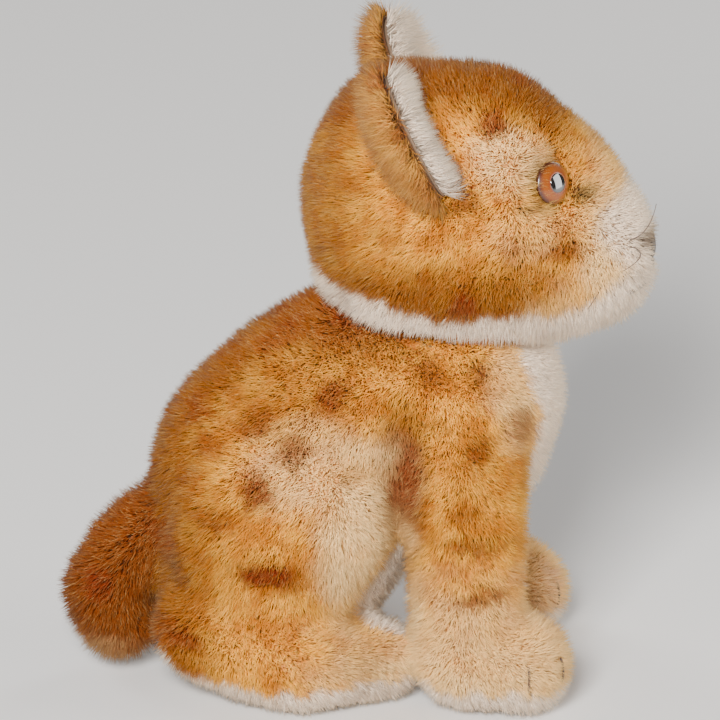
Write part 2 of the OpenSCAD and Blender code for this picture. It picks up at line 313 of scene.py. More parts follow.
def wood_wool_material():
    m = Shader("wood_wool")
    curls = m.noise(900, 4.0)
    m.colour(m.mix(m.ramp(curls, 0.3, 0.7), (0.42, 0.27, 0.12, 1), (0.74, 0.58, 0.34, 1)))
    m.set(Roughness=0.8)
    m.bump(curls, 0.8, 0.0005)
    return m.material


def hardboard_material():
    m = Shader("hardboard")
    fibre = m.noise(1500, 3.0)
    m.colour(m.mix(m.ramp(fibre, 0.3, 0.7), (0.12, 0.065, 0.03, 1), (0.24, 0.14, 0.07, 1)))
    m.set(Roughness=0.65)
    m.bump(fibre, 0.3, 0.0001)
    return m.material


def steel_material():
    m = Shader("plain_steel")
    brush = m.noise(1200, 2.0)
    m.colour(m.mix(m.ramp(brush, 0.3, 0.7), (0.42, 0.42, 0.43, 1), (0.60, 0.60, 0.61, 1)))
    m.set(Metallic=1.0, Roughness=0.32)
    m.bump(brush, 0.1, 0.00005)
    return m.material


def iris_material():
    """Amber paint under clear glass: radial streaks, a dark rim and a redder inner ring."""
    m = Shader("amber_eye")
    apart = m.node("ShaderNodeSeparateXYZ", Vector=m.place())
    across, up = apart.outputs[0], apart.outputs[1]
    squares = m.math("ADD", m.math("MULTIPLY", across, across), m.math("MULTIPLY", up, up))
    radius = m.math("SQRT", squares)
    turn = m.math("ARCTAN2", up, across)
    streaks = m.math("SINE", m.math("MULTIPLY", turn, 34.0))
    streaks = m.math("ADD", m.math("MULTIPLY", streaks, 0.12), 0.5)
    streaks = m.math("ADD", streaks, m.math("MULTIPLY", m.noise(700), 0.5))
    flame = m.mix(streaks, (0.12, 0.017, 0.0, 1), (0.26, 0.060, 0.0, 1))
    rim = m.ramp(radius, (EYE_R - 1.0) * MM, EYE_R * MM)
    colour = m.mix(rim, flame, (0.04, 0.005, 0.001, 1))
    inner = m.math("SUBTRACT", 1.0, m.ramp(radius, PUPIL_R * MM, (PUPIL_R + 0.7) * MM))
    m.colour(m.mix(m.math("MULTIPLY", inner, 0.5), colour, (0.16, 0.008, 0.0005, 1)))
    m.set(Roughness=0.35, Coat_Weight=0.6, Coat_Roughness=0.02, Coat_IOR=1.45)
    return m.material


def pupil_material():
    m = Shader("black_glass")
    depth = m.ramp(m.noise(900), 0.3, 0.7)
    m.colour(m.mix(depth, (0.002, 0.002, 0.002, 1), (0.008, 0.006, 0.005, 1)))
    m.set(Roughness=0.04, Specular_IOR_Level=1.0,
          Coat_Weight=1.0, Coat_Roughness=0.02, Coat_IOR=1.9)
    return m.material


# ---------------------------------------------------------------- mesh helpers
def add_object(name, mesh, body, material):
    """A visible piece of one body, with the given material."""
    made = bpy.data.objects.new(name, mesh)
    bpy.context.scene.collection.objects.link(made)
    mesh.materials.append(material)
    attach(made, body)
    return made


def applied(obj):
    """The object's mesh with its modifiers applied. The object is removed."""
    graph = bpy.context.evaluated_depsgraph_get()
    mesh = bpy.data.meshes.new_from_object(obj.evaluated_get(graph))
    bpy.data.objects.remove(obj)
    return mesh


def scratch_object(mesh):
    made = bpy.data.objects.new("scratch", mesh)
    bpy.context.scene.collection.objects.link(made)
    return made


def joined(names):
    """The meshes of the named CAD nodes, as one mesh."""
    bm = bmesh.new()
    for name in names:
        bm.from_mesh(NODES[name].data)
    mesh = bpy.data.meshes.new("joined")
    bm.to_mesh(mesh)
    bm.free()
    return mesh


def largest_island(mesh):
    """Deletes all but the largest connected part of a mesh."""
    bm = bmesh.new()
    bm.from_mesh(mesh)
    seen, best = set(), []
    for start in bm.verts:
        if start in seen:
            continue
        island, queue = [start], [start]
        seen.add(start)
        while queue:
            for edge in queue.pop().link_edges:
                for v in edge.verts:
                    if v not in seen:
                        seen.add(v)
                        island.append(v)
                        queue.append(v)
        if len(island) > len(best):
            best = island
    keep = set(best)
    bmesh.ops.delete(bm, geom=[v for v in bm.verts if v not in keep], context="VERTS")
    bm.to_mesh(mesh)
    bm.free()


def add_smoothing(obj, rounds):
    smooth = obj.modifiers.new("smooth", "SMOOTH")
    smooth.factor = 0.5
    smooth.iterations = rounds


def smooth_solid(names, voxel, rounds):
    """One smooth closed surface round the named CAD nodes."""
    obj = scratch_object(joined(names))
    remesh = obj.modifiers.new("remesh", "REMESH")
    remesh.mode = "VOXEL"
    remesh.voxel_size = voxel * MM
    add_smoothing(obj, rounds)
    mesh = applied(obj)
    largest_island(mesh)
    return mesh


def strongest(*masks):
    """The highest of several masks at each point."""
    return np.maximum.reduce(masks)


def points_of(mesh):
    flat = np.empty(len(mesh.vertices) * 3)
    mesh.vertices.foreach_get("co", flat)
    return flat.reshape(-1, 3)


def normals_of(mesh):
    flat = np.empty(len(mesh.vertices) * 3, dtype=np.float32)
    mesh.vertex_normals.foreach_get("vector", flat)
    return flat.reshape(-1, 3).astype(float)


def triangles_of(mesh):
    mesh.calc_loop_triangles()
    flat = np.empty(len(mesh.loop_triangles) * 3, dtype=np.int32)
    mesh.loop_triangles.foreach_get("vertices", flat)
    owner = np.empty(len(mesh.loop_triangles), dtype=np.int32)
    mesh.loop_triangles.foreach_get("polygon_index", owner)
    return flat.reshape(-1, 3), owner


def move_points(mesh, points):
    mesh.vertices.foreach_set("co", points.astype(np.float32).ravel())
    mesh.update()


def shrink(mesh, distance):
    """Moves the surface inwards along its normals, but leaves the flats of the neck in place."""
    points, step = points_of(mesh), normals_of(mesh) * distance * MM
    rise = (points / MM - NECK_AT) @ NECK_AXIS
    hold = 1 - smoothstep(np.abs(rise), 2, 7)
    step -= NECK_AXIS * (hold * (step @ NECK_AXIS))[:, None]
    move_points(mesh, points - step)


def smooth_again(mesh, rounds):
    obj = scratch_object(mesh)
    add_smoothing(obj, rounds)
    return applied(obj)


def bvh_of(mesh):
    corners = [v.co for v in mesh.vertices]
    return BVHTree.FromPolygons(corners, [face.vertices[:] for face in mesh.polygons])


def unit(v):
    return v / np.maximum(np.linalg.norm(v, axis=-1, keepdims=True), 1e-9)


def smoothstep(value, low, high):
    t = np.clip((value - low) / (high - low), 0, 1)
    return t * t * (3 - 2 * t)


def waves(points, size, seed):
    """Smooth noise, mostly in -1..1: three channels of sine waves about size millimetres long."""
    random = np.random.default_rng(seed)
    total = np.zeros((len(points), 3))
    for channel in range(3):
        for _ in range(5):
            way = unit(random.normal(size=3)) * (2 * math.pi / size) * random.uniform(0.6, 1.5)
            total[:, channel] += np.sin(points @ way + random.uniform(0, 6.28))
    return total / 2.6


# ---------------------------------------------------------------- the painted pattern, with painted shade and highlights
# Spots on one side, as [x, z, half length, half height, turn in degrees, strength].
BODY_SPOTS = [
    (-4.8, 66.8, 4.6, 3.4, 20, 0.85), (-20.4, 60.5, 5.0, 3.4, 20, 0.7),
    (-31.8, 60.5, 3.6, 3.4, 0, 0.6), (-13.2, 55.1, 4.2, 3.0, -10, 0.75),
    (-20.8, 47.5, 4.4, 3.6, 30, 0.9), (-29.0, 41.9, 4.4, 3.4, 0, 0.8),
    (-39.6, 33.6, 3.6, 4.4, 0, 0.7), (-30.6, 54.5, 4.4, 3.0, 15, 0.6),
    (-18.5, 31.0, 9.0, 4.2, -14, 1.0), (-36.8, 16.2, 5.4, 4.2, -10, 0.75),
    (-16.0, 76.0, 8.0, 2.6, 35, 0.55), (2.0, 80.0, 12.0, 2.8, -12, 0.9),
    (13.2, 70.7, 4.2, 3.2, 0, 0.65), (23.8, 70.3, 3.8, 3.4, 0, 0.75),
    (23.8, 56.5, 4.4, 3.4, 10, 0.8), (32.4, 59.4, 3.6, 4.6, 0, 0.7),
    (20.6, 45.1, 4.2, 2.8, 0, 0.45), (24.0, 37.6, 11.0, 1.9, -4, 0.75),
    (25.0, 26.8, 8.0, 2.0, 3, 0.75), (8.5, 49.0, 2.8, 12.0, -5, 0.85),
    (-34.0, 48.0, 3.0, 3.0, 0, 0.5), (14.0, 60.0, 3.4, 2.6, 0, 0.35),
    (-1.0, 52.0, 3.4, 2.6, 0, 0.35), (-52.4, 22.4, 4.0, 3.4, 0, 1.0),
]
HEAD_SPOTS = [
    (27.2, 121.5, 3.4, 2.4, 0, 0.9), (21.4, 107.7, 3.6, 3.4, 0, 0.85),
    (41.2, 96.8, 4.6, 2.6, 5, 0.75), (32.0, 97.4, 5.0, 1.8, 5, 0.45),
    (20.8, 87.0, 3.8, 3.8, 0, 1.0), (6.0, 100.0, 4.5, 3.4, 0, 0.3),
    (-3.0, 110.0, 4.0, 3.6, 0, 0.35), (14.0, 92.0, 3.6, 2.6, 0, 0.3),
    (12.0, 126.0, 5.0, 4.0, 0, 0.35),
]
# Spots along the middle of the back and crown, as [x, z, half length, half width, strength].
MIDDLE_SPOTS = [
    (-37.0, 60.0, 5.0, 3.2, 0.7), (-27.0, 71.0, 5.0, 3.4, 0.7), (-42.0, 45.0, 4.5, 3.0, 0.7),
    (-14.0, 79.0, 5.0, 3.0, 0.6), (33.0, 125.0, 4.5, 3.0, 0.6), (14.0, 128.0, 5.0, 3.4, 0.6),
    (-6.0, 119.0, 4.5, 3.2, 0.6), (-10.5, 103.0, 4.0, 3.4, 0.6), (-58.0, 20.0, 4.0, 3.2, 0.7),
]


def spot_mask(points, spots):
    """How brown each point is. The left side has the same spots, moved a little."""
    x, y, z = points.T
    ragged = waves(points, 7, 3) * 0.9 + waves(points, 2.4, 4) * 0.5
    mask = np.zeros(len(points))
    shift = np.where(y > 0, 1.0, 0.0)
    side = smoothstep(np.abs(y), 3.0, 6.0)
    for i, (cx, cz, a, b, turn, strength) in enumerate(spots):
        dx = x - cx - shift * 3.0 * math.sin(2.3 * i) + ragged[:, 0]
        dz = z - cz - shift * 2.5 * math.cos(1.7 * i) + ragged[:, 1]
        c, s = math.cos(math.radians(turn)), math.sin(math.radians(turn))
        reach = np.sqrt(((dx * c + dz * s) / a) ** 2 + ((dz * c - dx * s) / b) ** 2)
        mask = np.maximum(mask, strength * side * (1 - smoothstep(reach, 0.35, 1.25)))
    return mask


def middle_mask(points):
    """How brown each point is from the spots along the middle."""
    x, y, z = points.T
    ragged = waves(points, 7, 5) * 0.9
    mask = np.zeros(len(points))
    for cx, cz, a, b, strength in MIDDLE_SPOTS:
        dx = (x - cx + ragged[:, 0]) / a
        dy = (y + ragged[:, 1]) / b
        reach = np.sqrt(dx ** 2 + ((z - cz) / a) ** 2 + dy ** 2)
        mask = np.maximum(mask, strength * (1 - smoothstep(reach, 0.35, 1.2)))
    return mask


def blob(points, centre, radii, soft=0.5):
    """1 inside an ellipsoid and 0 outside it. centre[1] counts on both sides of the cat."""
    away = np.abs(points * [1, 0, 1] + np.abs(points * [0, 1, 0]) - centre) / radii
    return 1 - smoothstep(np.linalg.norm(away, axis=1), 1 - soft, 1 + soft)


def chin_top(x):
    """Height of the upper edge of the white band round the head, at x."""
    band = NECK_AT[2] - math.tan(NECK_TILT) * (x - NECK_AT[0]) + BAND_H
    chin = np.interp(x, [16, 18, 40, 54], [60, 80, 82, 86.5])
    return np.maximum(band, chin)


def under_masks(points, ragged):
    """Cream and white on the bib, belly and inner legs."""
    x, y, z = points.T
    side = np.abs(y)
    paw = 0.75 * smoothstep(x, 14, 20) * smoothstep(side, 7, 9)
    paw = paw * smoothstep(z, 5, 8) * (1 - smoothstep(z, 18, 30))
    edge = np.interp(z, [0, 26, 42, 52, 90], [17.5, 17.5, 13.8, 12.2, 12.2])
    past = smoothstep(side + 0.8 * ragged - edge, -0.8, 0.8)
    bib = 1 - past * smoothstep(x, -4, 4) * smoothstep(z, 4.5, 7)
    return strongest(0.4 * paw, 0.5 * (1 - bib)), (1 - paw) * bib


def body_masks(points, ragged):
    """Cream, white and a deep reddish tone on the body's sides. The reddish tone is partly the coat's
    own and partly painted shade; two cream patches are partly painted highlights.
    """
    x, y, z = points.T
    side = np.abs(y)
    # Cream on the haunch's front and on the midbody: partly the coat's pale patches, partly a painted
    # highlight.
    cream = strongest(
        0.95 * blob(points, (0.5, 27, 36), (8.5, 16, 19)),
        0.62 * blob(points, (-6, 22, 52), (15, 12, 9)),
        0.75 * blob(points, (34, 12, 66), (9, 12, 12)),
        0.82 * (1 - smoothstep(z, 14, 38)) * smoothstep(x, 4, 14),
        0.9 * (1 - smoothstep(x, 10, 15)) * smoothstep(x, 7, 10) * (1 - smoothstep(z, 24, 36)),
        0.85 * (1 - smoothstep(z, 8, 26)) * smoothstep(x, -20, 6))
    # Painted shade over the coat's deeper tone: the top of the back, the nape and the rump darken where
    # the light falls off, with a patch in the crease before the haunch.
    orange_and_shade = strongest(
        0.95 * smoothstep(z, 66, 78) * (1 - smoothstep(x, 0, 20)),
        0.85 * (1 - smoothstep(x, -40, -22)),
        0.90 * blob(points, (8, 24, 50), (5, 14, 16)),
        0.85 * (1 - smoothstep(side, 8, 18)) * smoothstep(z, 30, 45) * (1 - smoothstep(x, -5, 15)),
        0.50 * smoothstep(z, 40, 70) * (1 - smoothstep(x, -16, 12)),
        0.30 * blob(points, (23, 14, 46), (12, 14, 13)))
    return cream, 1 - smoothstep(z + ragged, 4.5, 7.0), orange_and_shade


def head_masks(points, ragged):
    """Cream, white, a deep reddish tone and near black on the head. The reddish tone is partly the
    coat's own and partly painted shade; the near black is painted shade round the eyes and at the
    mouth's corners, and a dark patch by the nose.
    """
    x, y, z = points.T
    crown = smoothstep(z, 106, 122) * (1 - smoothstep(np.abs(y), 8, 17))
    muzzle = np.interp(z, [86, 90, 94, 98, 102, 106, 112], [49, 54, 51, 48.5, 48.5, 54, 62])
    cream = strongest(
        smoothstep(x, 40, 50) * (1 - 0.6 * smoothstep(z, 101, 111)),
        # The cream patch on the temple is partly a painted highlight.
        0.80 * blob(points, (31, 20, 116), (8, 8, 7)),
        0.7 * smoothstep(x, 30, 48) * (1 - smoothstep(z, 80, 96)),
        0.35 * blob(points, (34, 18, 101), (8, 9, 6)))
    # Painted shade over the coat's deeper tone: the crown's top, the back of the head and its lower
    # part by the neck darken where the light falls off.
    orange_and_shade = strongest(
        0.90 * crown * (1 - smoothstep(x, 38, 50)),
        0.7 * (1 - smoothstep(x, -8, 6)),
        0.85 * (1 - smoothstep(z, 88, 99)) * (1 - smoothstep(x, 30, 48)))
    white = strongest(
        0.95 * smoothstep(x - muzzle, -3, 3),
        1 - smoothstep(z + 0.6 * ragged - chin_top(x), 0.3, 2.2))
    # Painted shade round and under the eye and at the mouth's corner, and a dark patch by the nose.
    shade_and_dark_marks = strongest(
        0.75 * blob(points, (44.6, 13, 106.6), (3.2, 4, 1.8)),
        0.6 * blob(points, (33.6, 18, 105.6), (4.0, 4, 1.2)),
        0.45 * blob(points, (38, 17, 109.7), (5.0, 5.0, 5.6), 0.2),
        0.75 * blob(points, (57.5, 5, 95.0), (3.5, 4.5, 2.0)),
        0.30 * blob(points, (53.5, 8, 88.5), (4.0, 4.0, 1.3)))
    return cream, white, orange_and_shade, shade_and_dark_marks


def coat_masks(points, kind):
    """Spot, cream, white, deep reddish and near-black masks for points in millimetres. The reddish mask
    is partly painted shade; the near-black one is painted shade and dark marks.
    """
    ragged = waves(points, 5, 7)[:, 0]
    none = np.zeros(len(points))
    if kind == "white":
        return none, none, none + 1.0, none, none
    if kind == "under":
        cream, white = under_masks(points, ragged)
        return none, cream, white, none, none
    if kind == "ear":
        return np.clip(0.30 + ragged * 0.45, 0, 0.8), none + 0.12, none, none + 0.45, none
    if kind == "tail":
        # The tail's deep reddish tone all over is partly painted shade.
        cream, white, orange_and_shade, shade_and_dark_marks = 0.3 * blob(points, (-50, 0, 4), (8, 10, 8)), none, none + 1.0, none
    elif kind == "body":
        cream, white, orange_and_shade = body_masks(points, ragged)
        shade_and_dark_marks = none
    else:
        cream, white, orange_and_shade, shade_and_dark_marks = head_masks(points, ragged)
    spot = spot_mask(points, HEAD_SPOTS if kind == "head" else BODY_SPOTS)
    spot = strongest(spot, middle_mask(points))
    rough = waves(points, 9, 6)[:, 0] * 0.12
    return spot, np.clip(cream + rough * (cream > 0.05), 0, 1), white, orange_and_shade, shade_and_dark_marks


def paint(mesh, masks, along, chance):
    """Stores the masks on the points of a mesh for its material."""
    spot, cream, white, orange_and_shade, shade_and_dark_marks = masks
    for name, channels in (("coat", (spot, cream, white, along)),
                           ("paint", (orange_and_shade, shade_and_dark_marks, chance, along))):
        layer = mesh.attributes.new(name, "FLOAT_COLOR", "POINT")
        layer.data.foreach_set("color", np.stack(channels, axis=1).astype(np.float32).ravel())


# ---------------------------------------------------------------- pile
def scatter(points, normals, triangles, per_mm2):
    """Random roots on triangles, with interpolated normals. Points are in millimetres."""
    a, b, c = (points[triangles[:, i]] for i in range(3))
    area = np.linalg.norm(np.cross(b - a, c - a), axis=1) / 2
    count = int(area.sum() * per_mm2)
    chosen = rng.choice(len(triangles), size=count, p=area / area.sum())
    u, v = rng.random((2, count))
    flip = u + v > 1
    u, v = np.where(flip, 1 - u, u), np.where(flip, 1 - v, v)
    weights = np.stack([1 - u - v, u, v], axis=1)[:, :, None]
    corners = triangles[chosen]
    roots = (points[corners] * weights).sum(axis=1)
    return roots, unit((normals[corners] * weights).sum(axis=1))


def neck_place(points):
    """Height over the neck joint's plane, and distance from its axis."""
    rise = (points - NECK_AT) @ NECK_AXIS
    return rise, np.linalg.norm(points - NECK_AT - rise[:, None] * NECK_AXIS, axis=1)


def keep_to_side(points, body):
    """Keeps pile above the ground, and on its own side of the neck joint."""
    points[:, 2] = np.maximum(points[:, 2], GROUND_GAP)
    rise, out = neck_place(points)
    if body == "head":
        hang = FRINGE_L * smoothstep(out, 17, 22)
        short = np.maximum(0, NECK_PILE_GAP - hang - rise)
        points += short[:, None] * NECK_AXIS
    else:
        over = np.maximum(0, rise + NECK_PILE_GAP)
        points -= np.where(out < NECK_REACH, over, 0)[:, None] * NECK_AXIS


def grow(name, roots, normals, lay, length, masks, body, lean=0.45, wild=0.2):
    """A pile of straight tapered fibres, in pieces under the size limit."""
    tangent = lay - (lay * normals).sum(axis=1, keepdims=True) * normals
    drift = waves(roots, 12, 11) * 0.16 + waves(roots, 3.4, 12) * 0.13 + waves(roots, 1.3, 13) * 0.12
    way = unit(normals + tangent * lean + drift + rng.normal(size=roots.shape) * wild)
    steepest = -0.35  # close to the ground
    low = (1 - smoothstep(roots[:, 2], 2, 6)) * (way[:, 2] < steepest)
    way[:, 2] += low * (steepest - way[:, 2])
    way = unit(way)
    long = length * rng.uniform(0.62, 1.14, len(roots))
    across = unit(np.cross(way, unit(rng.normal(size=roots.shape))))
    other = np.cross(way, across)
    wide = NEEDLE_R * rng.uniform(0.75, 1.25, len(roots))
    base = roots - way * NEEDLE_ROOT
    ring = []
    for k in range(3):
        angle = 2 * math.pi * k / 3
        spoke = across * math.cos(angle) + other * math.sin(angle)
        ring.append(base + spoke * wide[:, None])
    needles = np.stack([*ring, roots + way * long[:, None]], axis=1)
    flat = needles.reshape(-1, 3)
    keep_to_side(flat, body)
    needles = flat.reshape(needles.shape)
    chance = rng.random(len(roots))
    order = rng.permutation(len(roots))
    pieces = max(1, math.ceil(len(roots) / NEEDLES_PER_PIECE))
    for i, part in enumerate(np.array_split(order, pieces)):
        label = name if pieces == 1 else f"{name}_{i + 1}"
        mesh = needle_mesh(label, needles[part])
        along = np.tile([0, 0, 0, 1.0], len(part))
        paint(mesh, [np.repeat(m[part], 4) for m in masks], along, np.repeat(chance[part], 4))
        add_object(label, mesh, body, MATERIALS["pile"])


def needle_mesh(name, needles):
    """A mesh of fibres, each a thin pyramid with points 0-2 at its root and 3 at its tip."""
    count = len(needles)
    mesh = bpy.data.meshes.new(name)
    one = np.array([0, 1, 3, 1, 2, 3, 2, 0, 3, 2, 1, 0])
    loops = (one[None, :] + 4 * np.arange(count)[:, None]).ravel()
    mesh.vertices.add(count * 4)
    mesh.vertices.foreach_set("co", (needles * MM).astype(np.float32).ravel())
    mesh.loops.add(len(loops))
    mesh.loops.foreach_set("vertex_index", loops.astype(np.int32))
    mesh.polygons.add(count * 4)
    mesh.polygons.foreach_set("loop_start", np.arange(0, len(loops), 3).astype(np.int32))
    mesh.polygons.foreach_set("loop_total", np.full(count * 4, 3, dtype=np.int32))
    mesh.update(calc_edges=True)
    mesh.shade_smooth()
    lay_out_needles(mesh, count)
    return mesh


def lay_out_needles(mesh, count):
    """Gives each fibre its own cell of a square map, root at the bottom and tip at the top."""
    low, high = 0.1, 0.9
    left = [0.08 + 0.28 * k for k in range(4)]
    cell = []
    for k in range(3):
        cell += [(left[k], low), (left[k + 1], low), ((left[k] + left[k + 1]) / 2, high)]
    cell += [(left[2], low), (left[1], low), (left[0], low)]
    across = math.ceil(math.sqrt(count))
    index = np.arange(count)
    corner = np.stack([index % across, index // across], axis=1)
    places = (np.array(cell)[None, :, :] + corner[:, None, :]) / across
    layer = mesh.uv_layers.new(name="OFBake")
    layer.uv.foreach_set("vector", places.astype(np.float32).ravel())


# ---------------------------------------------------------------- skins
def nearest_panel(mesh, names):
    """For each face, the index of the CAD panel that it lies nearest to."""
    trees = [bvh_of(NODES[name].data) for name in names]
    label = np.zeros(len(mesh.polygons), dtype=np.int32)
    for face in mesh.polygons:
        away = [tree.find_nearest(face.center)[3] for tree in trees]
        label[face.index] = away.index(min(away))
    return label


def piece_of(mesh, chosen, name):
    """A closed piece of cloth: the chosen faces, thickened inwards."""
    bm = bmesh.new()
    bm.from_mesh(mesh)
    bm.faces.ensure_lookup_table()
    bmesh.ops.delete(bm, geom=[f for f in bm.faces if not chosen[f.index]], context="FACES")
    made = bpy.data.meshes.new(name)
    bm.to_mesh(made)
    bm.free()
    obj = scratch_object(made)
    thick = obj.modifiers.new("cloth", "SOLIDIFY")
    thick.thickness = CLOTH_T * MM
    thick.offset = -1
    made = applied(obj)
    made.shade_smooth()
    made.name = name
    return made


def faces_the_neck(points, normals, reach):
    """Whether each point lies on the flat of the neck joint, within reach of its axis."""
    rise, out = neck_place(points)
    return (np.abs(rise) < 5) & (np.abs(normals @ NECK_AXIS) > 0.8) & (out < reach)


PANEL_KIND = {"under_gusset": "under", "chin_gusset": "white", "side_panel": "body",
              "tail_cover": "tail", "head_side": "head", "forehead": "head"}


def kind_of(name):
    return next(kind for start, kind in PANEL_KIND.items() if name.startswith(start))


def blend(a, b, share):
    """Directions a turned towards b by a share at each point."""
    return a * (1 - share)[:, None] + np.array(b) * share[:, None]


def lay_of(kind, points):
    """The way the pile leans at each root."""
    x, y, z = points.T
    if kind == "tail":
        return np.tile(unit(np.array([-0.5, 0.0, -0.85])), (len(points), 1))
    if kind == "head":
        lay = np.tile([-1.0, 0.0, -0.25], (len(points), 1))
        lay = blend(lay, [-0.35, 0, -1.0], 1 - smoothstep(z, 80, 98))
        rear = 1 - smoothstep(eye_distance(points), EYE_R + 1, EYE_R + EYE_FUR_W)
        lay = blend(lay, [1.2, 0, 0.2], rear * (x < EYE_AT[0] - 1))
        return unit(blend(lay, [0.3, 0, -0.4], smoothstep(x, 50, 57)))
    lay = np.tile([-0.45, 0.0, -0.9], (len(points), 1))
    lay = blend(lay, [0.10, 0, -1.0], smoothstep(x, 6, 12))
    foot = (1 - smoothstep(z, 12, 24)) * smoothstep(np.abs(y), 6, 10)
    return unit(blend(lay, [0.9, 0, -0.35], foot))


def eye_distance(points):
    """Distance from the axis of the nearer eye, in millimetres."""
    e, t = math.radians(EYE_LIFT), math.radians(EYE_TURN)
    way = np.array([math.cos(e) * math.cos(t), -math.cos(e) * math.sin(t), math.sin(e)])
    mirrored = np.stack([points[:, 0], -np.abs(points[:, 1]), points[:, 2]], axis=1)
    off = mirrored - EYE_AT
    return np.linalg.norm(off - (off @ way)[:, None] * way, axis=1)


def length_of(kind, points, on_head):
    """The pile's length at each root: short on the nose, and long behind the eyes."""
    x, y, z = points.T
    long = PILE_L + 0.35 * waves(points, 16, 31)[:, 0]
    if on_head:
        brow = smoothstep(z, 104, 118) * smoothstep(x, 20, 40) * (1 - smoothstep(x, 46, 54))
        long *= 1 - 0.14 * brow
        rear = smoothstep(EYE_AT[0] - x, 0.5, 3.0)
        near = 1 - smoothstep(eye_distance(points), EYE_R, EYE_R + EYE_FUR_W)
        long *= 1 - near * (0.20 - 0.65 * rear)
        nose = smoothstep(x, 54.5, 56.5) * (1 - smoothstep(np.abs(y), 3.4, 5.0))
        nose *= smoothstep(z, NOSE_Z - 6.5, NOSE_Z - 4.5)
        nose *= 1 - smoothstep(z, NOSE_Z - 0.5, NOSE_Z + 1.5)
        return long * (1 - 0.72 * nose)
    if kind == "tail":
        return long * 1.1
    return long * (1 - 0.12 * (1 - smoothstep(z, 8, 20)))


def clothe(panels, stuffings, body):
    """Builds the cloth and the pile of one stuffed part, panel by panel."""
    skin = smooth_solid([*panels, *stuffings], SKIN_VOXEL, SKIN_ROUNDS)
    label = nearest_panel(skin, panels)
    shrink(skin, CLOTH_INSET)
    skin = smooth_again(skin, 3)
    points, normals = points_of(skin) / MM, normals_of(skin)
    triangles, owner = triangles_of(skin)
    on_head = body == "head"
    for i, name in enumerate(panels):
        kind = kind_of(name)
        cloth = piece_of(skin, label == i, f"{name}_cloth")
        cloth_points = points_of(cloth) / MM
        nothing = np.zeros(len(cloth_points))
        paint(cloth, coat_masks(cloth_points, kind), nothing, nothing)
        piece = add_object(f"{name}_cloth", cloth, body, MATERIALS["cloth"])
        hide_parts(name)

        roots, up = scatter(points, normals, triangles[label[owner] == i], PER_MM2)
        keep = ~faces_the_neck(roots, up, NECK_BARE_R[body]) & (roots[:, 2] > ROOT_MIN_Z)
        if on_head:
            keep &= eye_distance(roots) > EYE_R - 0.3
        roots, up = roots[keep], up[keep]
        if on_head:
            rear = 1 - smoothstep(eye_distance(roots), EYE_R + 1, EYE_R + EYE_FUR_W)
            rear *= smoothstep(EYE_AT[0] - roots[:, 0], 0.5, 2.5)
            up = unit(up + rear[:, None] * np.array([0.5, 0, 0.1]))
        lay = lay_of("head" if on_head else kind, roots)
        long = length_of(kind, roots, on_head)
        masks = coat_masks(roots + up * TIP_OUT, kind)
        grow(f"{name}_pile", roots, up, lay, long, masks, body)
    return skin


def stuff(name, body):
    """A stuffing of wood wool a little inside its CAD solid."""
    mesh = smooth_solid([name], WOOL_VOXEL, WOOL_ROUNDS)
    shrink(mesh, WOOL_INSET)
    mesh.shade_smooth()
    piece = add_object(f"{name}_wool", mesh, body, MATERIALS["wool"])
    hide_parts(name)


# ---------------------------------------------------------------- ears
def ear_matrix(side):
    """From the ear's own frame, lining to +X and tip to +Z, to the cat's. Millimetres."""
    x, y, z = (math.radians(a) for a in EAR_LEAN)
    turn = Matrix.Rotation(z, 4, "Z") @ Matrix.Rotation(y, 4, "Y") @ Matrix.Rotation(x, 4, "X")
    mirror = Matrix.Scale(-1 if side == "left" else 1, 4, (0, 1, 0))
    return mirror @ Matrix.Translation(EAR_AT) @ turn


def ear_sheet(side, ball_r, head_tree):
    """The cupped disc of one ear layer at a distance from the ball's centre, outside the head."""
    rings, spokes = 14, 56
    place = ear_matrix(side)
    bm = bmesh.new()
    rows = []
    for i in range(rings + 1):
        spread = EAR_R * i / rings / EAR_CUP_R
        row = []
        for j in range(spokes if i else 1):
            a = 2 * math.pi * j / spokes
            deep, wide = ball_r * math.cos(spread), ball_r * math.sin(spread)
            local = Vector((EAR_CUP_R - deep, wide * math.sin(a), wide * math.cos(a)))
            row.append(bm.verts.new((place @ local) * MM))
        rows.append(row)
    for j in range(spokes):
        k = (j + 1) % spokes
        bm.faces.new((rows[0][0], rows[1][j], rows[1][k]))
        for i in range(1, rings):
            bm.faces.new((rows[i][j], rows[i + 1][j], rows[i + 1][k], rows[i][k]))
    sunk = []
    for v in bm.verts:
        near, normal, _, _ = head_tree.find_nearest(v.co)
        if (v.co - near).dot(normal) < -EAR_SUNK * MM:
            sunk.append(v)
    bmesh.ops.delete(bm, geom=sunk, context="VERTS")
    mesh = bpy.data.meshes.new("ear")
    bm.to_mesh(mesh)
    bm.free()
    return mesh


def ear_cloth(sheet):
    """One layer of an ear as closed cloth with rounded edges. The sheet itself is kept."""
    obj = scratch_object(sheet)
    thick = obj.modifiers.new("felt", "SOLIDIFY")
    thick.thickness = (EAR_LAYER_T - 0.1) * MM
    thick.offset = -1
    bevel = obj.modifiers.new("round", "BEVEL")
    bevel.width = 0.2 * MM
    bevel.segments = 2
    cloth = applied(obj)
    cloth.shade_smooth()
    return cloth


